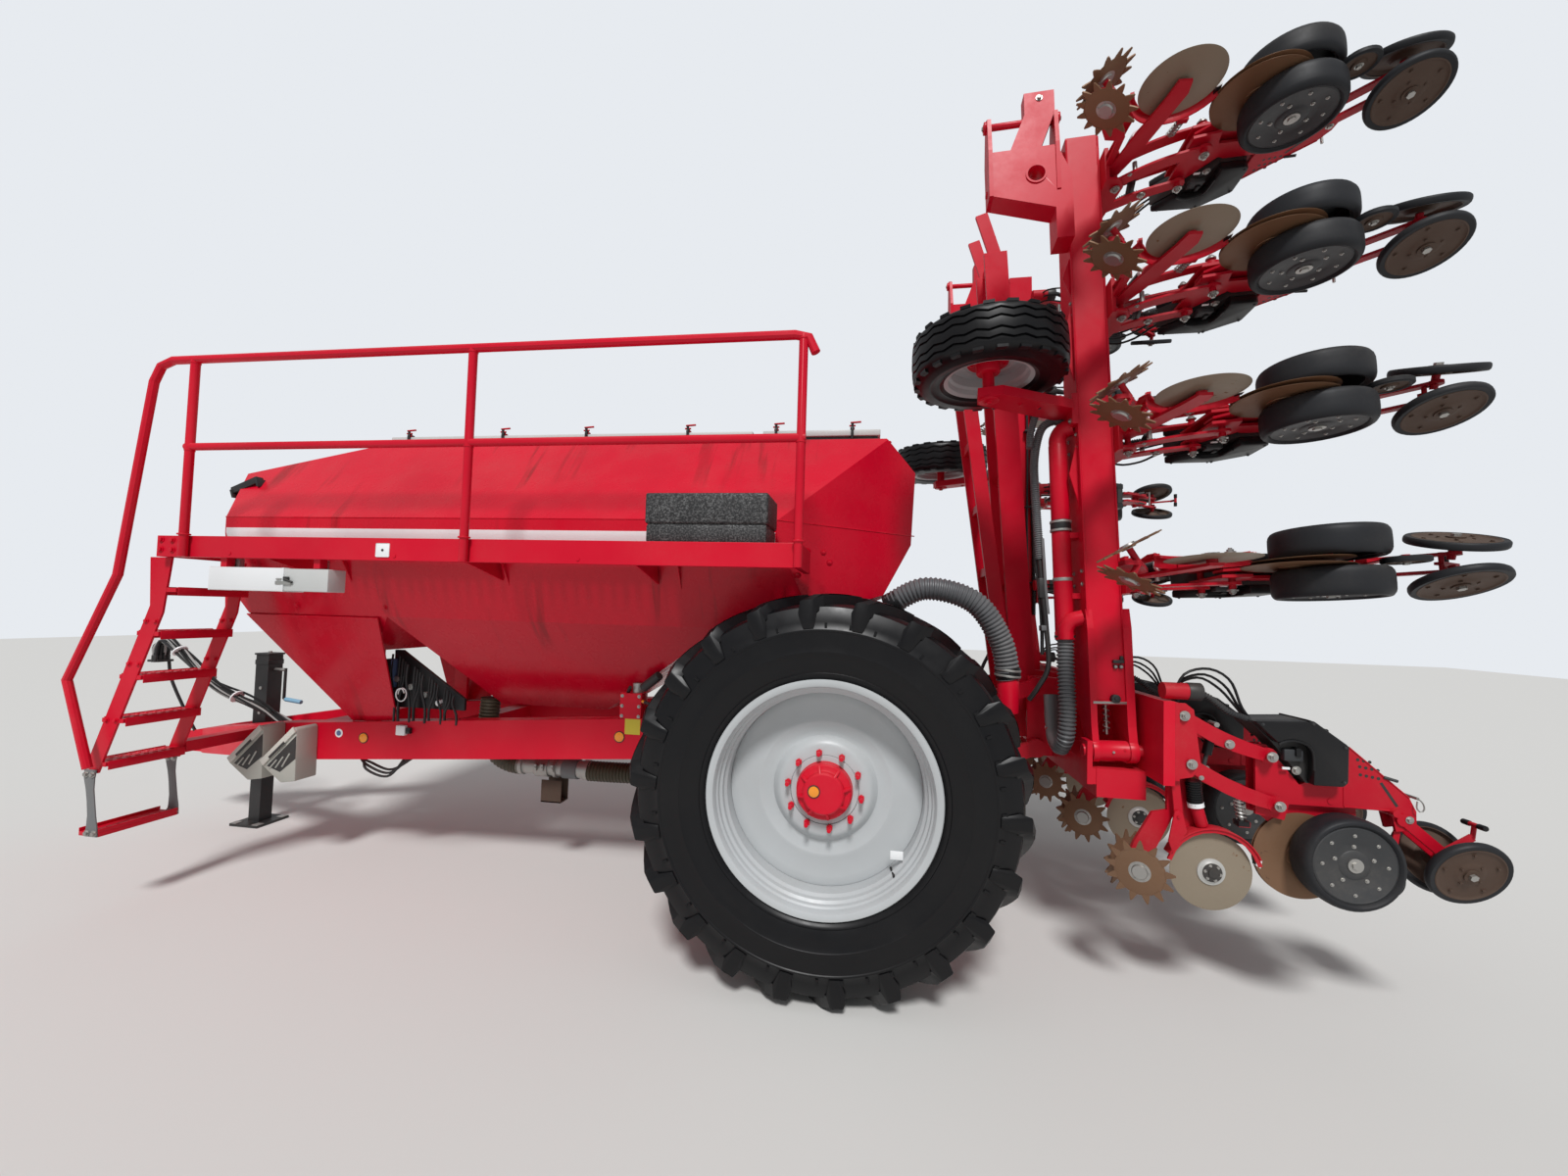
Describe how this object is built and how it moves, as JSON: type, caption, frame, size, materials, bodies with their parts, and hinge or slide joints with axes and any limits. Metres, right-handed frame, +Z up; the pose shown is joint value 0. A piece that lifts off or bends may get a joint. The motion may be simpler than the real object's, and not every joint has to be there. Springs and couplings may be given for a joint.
{
  "type": "folded seed drill",
  "caption": "Towed precision seed drill in its folded road position: long red hopper on two large wheels, with wings of row units standing upright behind it.",
  "frame": {"origin": "on the floor, under the middle of the machine's box, between the two road wheels", "axes": "+X forward to the hitch, +Y to the machine's left, where the platform and ladder are, +Z up"},
  "size_m": [8.4898, 3.2506, 4.8163],
  "materials": {
    "red_paint": "semi-gloss, dusty, worn at edges",
    "pale_paint": "semi-gloss pale grey",
    "black_paint": "satin black",
    "worn_steel": "worn bright and rusted",
    "rust_iron": "rusted",
    "tyre_rubber": "black tyre rubber",
    "wheel_rubber": "dusty grey-black rubber",
    "black_plastic": "matt black",
    "hose_plastic": "ribbed hose",
    "pale_plastic": "pale grey"
  },
  "bodies": {
    "chassis": {"main_frame": "red_paint", "drawbar": "red_paint", "axle": "red_paint", "jack_housing": "black_paint", "hopper": "red_paint", "funnel_plate_left": "red_paint", "funnel_plate_right": "red_paint", "platform": "red_paint", "railing": "red_paint", "ladder": "red_paint", "bottom_step": "red_paint", "document_box": "pale_plastic", "tool_box": "black_plastic", "wheel_chocks": "pale_paint", "under_hose": "hose_plastic", "main_hose": "hose_plastic"},
    "wheel_left": {"tyre_left": "tyre_rubber", "rim_left": "pale_paint", "hub_left": "red_paint"},
    "wheel_right": {"tyre_right": "tyre_rubber", "rim_right": "pale_paint", "hub_right": "red_paint"},
    "lid_front": {"lid_front": "pale_paint"},
    "lid_rear": {"lid_rear": "pale_paint"},
    "jack_leg": {"jack_leg": "black_paint"},
    "lower_links": {"lower_links": "red_paint"},
    "top_links": {"top_links": "red_paint"},
    "toolbar": {"toolbar": "red_paint", "lock_mast": "red_paint", "unit_frames_center": "red_paint", "unit_discs_center": "worn_steel", "closing_wheels_center": "rust_iron", "meter_housings_center": "black_plastic"},
    "gauge_wheels_center": {"gauge_wheels_center": "wheel_rubber"},
    "wing_left": {"wing_beam_left": "red_paint", "wing_lock_left": "red_paint", "support_arm_left": "red_paint", "seed_pipe_left": "red_paint", "wing_hose_left": "hose_plastic", "unit_frames_left": "red_paint", "unit_discs_left": "worn_steel", "closing_wheels_left": "rust_iron", "meter_housings_left": "black_plastic"},
    "support_wheel_left": {"support_wheel_left": "pale_paint", "support_tyre_left": "tyre_rubber"},
    "gauge_wheels_left": {"gauge_wheels_left": "wheel_rubber"},
    "wing_right": {"wing_beam_right": "red_paint", "wing_lock_right": "red_paint", "support_arm_right": "red_paint", "seed_pipe_right": "red_paint", "wing_hose_right": "hose_plastic", "unit_frames_right": "red_paint", "unit_discs_right": "worn_steel", "closing_wheels_right": "rust_iron", "meter_housings_right": "black_plastic"},
    "support_wheel_right": {"support_wheel_right": "pale_paint", "support_tyre_right": "tyre_rubber"},
    "gauge_wheels_right": {"gauge_wheels_right": "wheel_rubber"}
  },
  "joints": [
    {"name": "wheel_left_spin", "type": "hinge", "parent": "chassis", "child": "wheel_left", "pos_m": [-1.3, 1.2, 0.975], "axis": [0, 1, 0], "continuous": true},
    {"name": "wheel_right_spin", "type": "hinge", "parent": "chassis", "child": "wheel_right", "pos_m": [-1.3, -1.2, 0.975], "axis": [0, 1, 0], "continuous": true},
    {"name": "lid_front_open", "type": "hinge", "parent": "chassis", "child": "lid_front", "pos_m": [0.65, -0.43, 2.9825], "axis": [1, 0, 0], "range_deg": [0, 100]},
    {"name": "lid_rear_open", "type": "hinge", "parent": "chassis", "child": "lid_rear", "pos_m": [-1.155, -0.43, 2.9825], "axis": [1, 0, 0], "range_deg": [0, 100]},
    {"name": "jack_raise", "type": "slide", "parent": "chassis", "child": "jack_leg", "axis": [0, 0, 1], "range_m": [0, 0.4]},
    {"name": "toolbar_lift", "type": "slide", "parent": "chassis", "child": "toolbar", "axis": [0, 0, 1], "range_m": [-0.5, 0], "deforming": ["main_hose"]},
    {"name": "lower_links_swing", "type": "hinge", "parent": "chassis", "child": "lower_links", "pos_m": [-1.73, 0, 0.8], "axis": [0, 1, 0], "range_deg": [-35, 0]},
    {"name": "top_links_swing", "type": "hinge", "parent": "chassis", "child": "top_links", "pos_m": [-1.73, 0, 1.18], "axis": [0, 1, 0], "range_deg": [-35, 0]},
    {"name": "wing_left_fold", "type": "hinge", "parent": "toolbar", "child": "wing_left", "pos_m": [-2.747, 0.985, 1.195], "axis": [0.9995, 0, -0.0305], "range_deg": [-93, 0], "deforming": ["wing_hose_left"]},
    {"name": "support_wheel_left_spin", "type": "hinge", "parent": "wing_left", "child": "support_wheel_left", "pos_m": [-2.08261, 1.06922, 3.19281], "axis": [0.0305, -0.0523, 0.9982], "continuous": true},
    {"name": "gauge_wheels_left_spin", "type": "hinge", "parent": "wing_left", "child": "gauge_wheels_left", "pos_m": [-3.44059, 1.28227, 3.25048], "axis": [0.0305, -0.0523, 0.9982], "continuous": true},
    {"name": "wing_right_fold", "type": "hinge", "parent": "toolbar", "child": "wing_right", "pos_m": [-2.747, -0.985, 1.195], "axis": [0.9995, 0, -0.0305], "range_deg": [0, 93], "deforming": ["wing_hose_right"]},
    {"name": "support_wheel_right_spin", "type": "hinge", "parent": "wing_right", "child": "support_wheel_right", "pos_m": [-2.08261, -1.06922, 3.19281], "axis": [0.0305, 0.0523, 0.9982], "continuous": true},
    {"name": "gauge_wheels_right_spin", "type": "hinge", "parent": "wing_right", "child": "gauge_wheels_right", "pos_m": [-3.44059, -1.28227, 3.25048], "axis": [0.0305, 0.0523, 0.9982], "continuous": true},
    {"name": "gauge_wheels_center_spin", "type": "hinge", "parent": "toolbar", "child": "gauge_wheels_center", "pos_m": [-3.625, 0, 0.815], "axis": [0, 1, 0], "continuous": true}
  ],
  "couplings": [
    {"joint": "lower_links_swing", "follows": "toolbar_lift", "rad_per_m": 1.1941},
    {"joint": "top_links_swing", "follows": "toolbar_lift", "rad_per_m": 1.1941}
  ]
}
